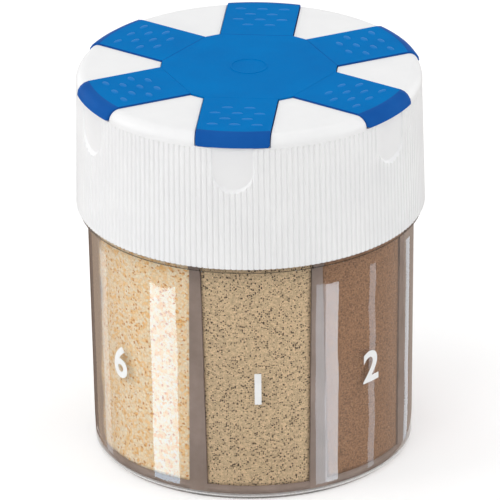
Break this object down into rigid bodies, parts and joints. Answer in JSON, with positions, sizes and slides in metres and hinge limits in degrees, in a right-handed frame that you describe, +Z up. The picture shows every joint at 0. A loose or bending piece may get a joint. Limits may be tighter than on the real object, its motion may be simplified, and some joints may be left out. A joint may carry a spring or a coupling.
{
  "type": "spice shaker",
  "caption": "Clear round jar of wedge-shaped spice cells under a white ribbed cap, with a blue star of flip flaps that close the sprinkle holes.",
  "frame": {"origin": "middle of the jar's foot, on the surface it stands on", "axes": "+Z up along the jar's axis, front flap along -Y"},
  "size_m": [0.068, 0.068, 0.0784],
  "materials": {
    "clear_plastic": "clear moulded plastic, polished",
    "white_plastic": "white moulded plastic, satin",
    "blue_plastic": "blue moulded plastic, satin, fine texture",
    "seal_foam": "soft white sealing foam",
    "white_pepper": "loose dry spice",
    "black_pepper": "loose dry spice",
    "paprika": "loose dry spice",
    "salt": "loose dry spice",
    "curry_powder": "loose dry spice",
    "garlic_granules": "loose dry spice"
  },
  "bodies": {
    "jar": {"jar": "clear_plastic", "white_pepper": "white_pepper", "black_pepper": "black_pepper", "paprika": "paprika", "salt": "salt", "curry_powder": "curry_powder", "garlic_granules": "garlic_granules"},
    "cap": {"cap": "white_plastic", "star_hub": "blue_plastic", "seal_disc": "seal_foam"},
    "flap_1": {"flap_1": "blue_plastic"},
    "flap_2": {"flap_2": "blue_plastic"},
    "flap_3": {"flap_3": "blue_plastic"},
    "flap_4": {"flap_4": "blue_plastic"},
    "flap_5": {"flap_5": "blue_plastic"},
    "flap_6": {"flap_6": "blue_plastic"}
  },
  "joints": [
    {"name": "cap_lift", "type": "slide", "parent": "jar", "child": "cap", "axis": [0, 0, 1], "range_m": [0, 0.03]},
    {"name": "flap_1_hinge", "type": "hinge", "parent": "cap", "child": "flap_1", "pos_m": [0, -0.0155, 0.07826], "axis": [-1, 0, 0], "range_deg": [0, 95]},
    {"name": "flap_2_hinge", "type": "hinge", "parent": "cap", "child": "flap_2", "pos_m": [0.01342, -0.00775, 0.07826], "axis": [-0.5, -0.866, 0], "range_deg": [0, 95]},
    {"name": "flap_3_hinge", "type": "hinge", "parent": "cap", "child": "flap_3", "pos_m": [0.01342, 0.00775, 0.07826], "axis": [0.5, -0.866, 0], "range_deg": [0, 95]},
    {"name": "flap_4_hinge", "type": "hinge", "parent": "cap", "child": "flap_4", "pos_m": [0, 0.0155, 0.07826], "axis": [1, 0, 0], "range_deg": [0, 95]},
    {"name": "flap_5_hinge", "type": "hinge", "parent": "cap", "child": "flap_5", "pos_m": [-0.01342, 0.00775, 0.07826], "axis": [0.5, 0.866, 0], "range_deg": [0, 95]},
    {"name": "flap_6_hinge", "type": "hinge", "parent": "cap", "child": "flap_6", "pos_m": [-0.01342, -0.00775, 0.07826], "axis": [-0.5, 0.866, 0], "range_deg": [0, 95]}
  ]
}
